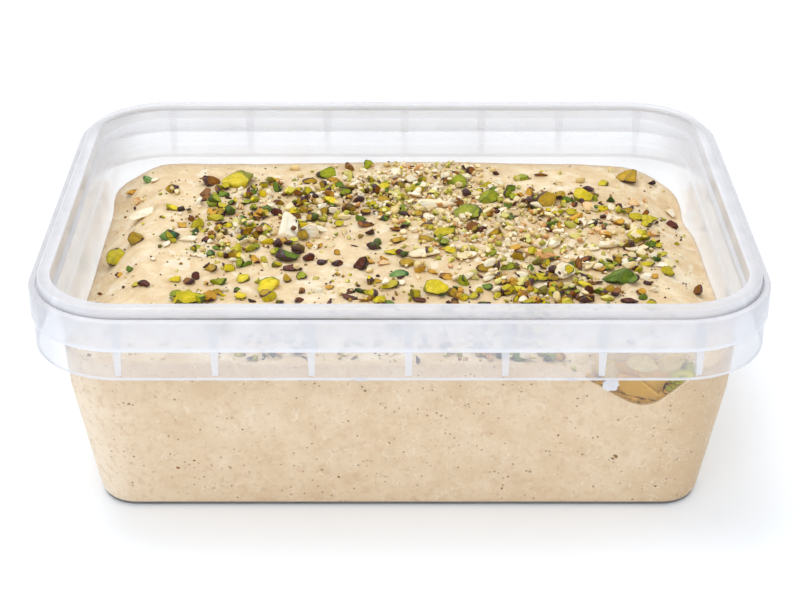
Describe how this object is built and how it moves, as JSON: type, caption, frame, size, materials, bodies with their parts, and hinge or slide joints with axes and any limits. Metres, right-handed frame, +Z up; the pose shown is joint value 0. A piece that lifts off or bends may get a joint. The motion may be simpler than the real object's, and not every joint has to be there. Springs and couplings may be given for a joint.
{
  "type": "tub of sesame halva",
  "caption": "Block of sesame halva moulded in its own open, clear rectangular tub, topped with chopped pistachios and almonds.",
  "frame": {"origin": "centre of the tub's base, on the surface it stands on", "axes": "+X along the tub's long side to the right, +Y away from the front side, +Z up"},
  "size_m": [0.143, 0.107, 0.05],
  "materials": {
    "tub_plastic": "moulded clear polypropylene, slightly milky",
    "halva": "dense pressed sesame paste, fine pits and fibres",
    "pistachio": "chopped kernel, green flesh with purple-brown skin",
    "almond": "chopped blanched kernel"
  },
  "bodies": {
    "root": {"tub": "tub_plastic", "halva": "halva", "pistachio_01": "pistachio", "pistachio_02": "pistachio", "pistachio_03": "pistachio", "pistachio_04": "pistachio", "pistachio_05": "pistachio", "pistachio_06": "pistachio", "pistachio_07": "pistachio", "pistachio_08": "pistachio", "pistachio_09": "pistachio", "pistachio_10": "pistachio", "pistachio_11": "pistachio", "pistachio_12": "pistachio", "pistachio_13": "pistachio", "pistachio_14": "pistachio", "pistachio_15": "pistachio", "pistachio_16": "pistachio", "pistachio_17": "pistachio", "pistachio_18": "pistachio", "pistachio_19": "pistachio", "pistachio_20": "pistachio", "pistachio_21": "pistachio", "almond_01": "almond", "almond_02": "almond", "almond_03": "almond", "almond_04": "almond", "almond_05": "almond", "almond_06": "almond", "almond_07": "almond"}
  },
  "joints": []
}
